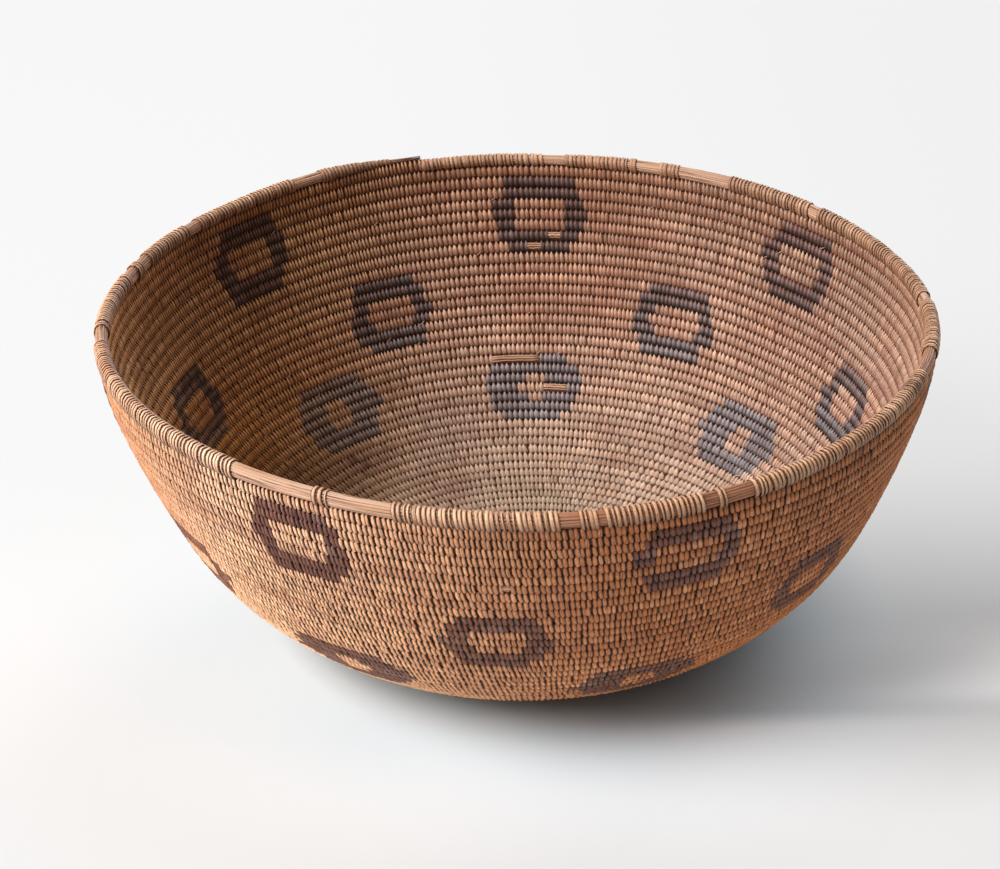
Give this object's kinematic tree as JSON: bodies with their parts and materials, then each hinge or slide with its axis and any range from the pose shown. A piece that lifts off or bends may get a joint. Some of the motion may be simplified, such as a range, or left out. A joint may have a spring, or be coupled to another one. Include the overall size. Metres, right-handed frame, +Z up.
{
  "type": "coiled grain basket",
  "caption": "Round coiled basket with a flat base, curved flaring wall and splint-wrapped rim, for holding, carrying or winnowing grain.",
  "frame": {"origin": "middle of the outline seen from above, on the surface that the basket stands on", "axes": "+Z up through the bowl's mouth; the pictured front faces -Y, with +X to its right"},
  "size_m": [0.404, 0.4084, 0.1718],
  "materials": {
    "start_knot": "matte",
    "floor_splints": "matte",
    "lower_wall_splints": "matte",
    "middle_wall_splints": "matte",
    "upper_wall_splints": "matte",
    "bare_stems": "matte",
    "rim_splints": "matte"
  },
  "bodies": {
    "root": {"start_knot": "start_knot", "centre_coil": "floor_splints", "floor_coil": "floor_splints", "lower_wall_coil": "lower_wall_splints", "middle_wall_coil": "middle_wall_splints", "upper_wall_coil": "upper_wall_splints", "rim_bundle": "bare_stems", "rim_wrap_01": "rim_splints", "rim_wrap_02": "rim_splints", "rim_wrap_03": "rim_splints", "rim_wrap_04": "rim_splints", "rim_wrap_05": "rim_splints", "rim_wrap_06": "rim_splints", "rim_wrap_07": "rim_splints", "rim_wrap_08": "rim_splints", "rim_wrap_09": "rim_splints", "rim_wrap_10": "rim_splints", "rim_wrap_11": "rim_splints", "rim_wrap_12": "rim_splints", "rim_wrap_13": "rim_splints", "rim_wrap_14": "rim_splints", "rim_wrap_15": "rim_splints", "rim_wrap_16": "rim_splints", "rim_wrap_17": "rim_splints", "rim_wrap_18": "rim_splints"}
  },
  "joints": []
}
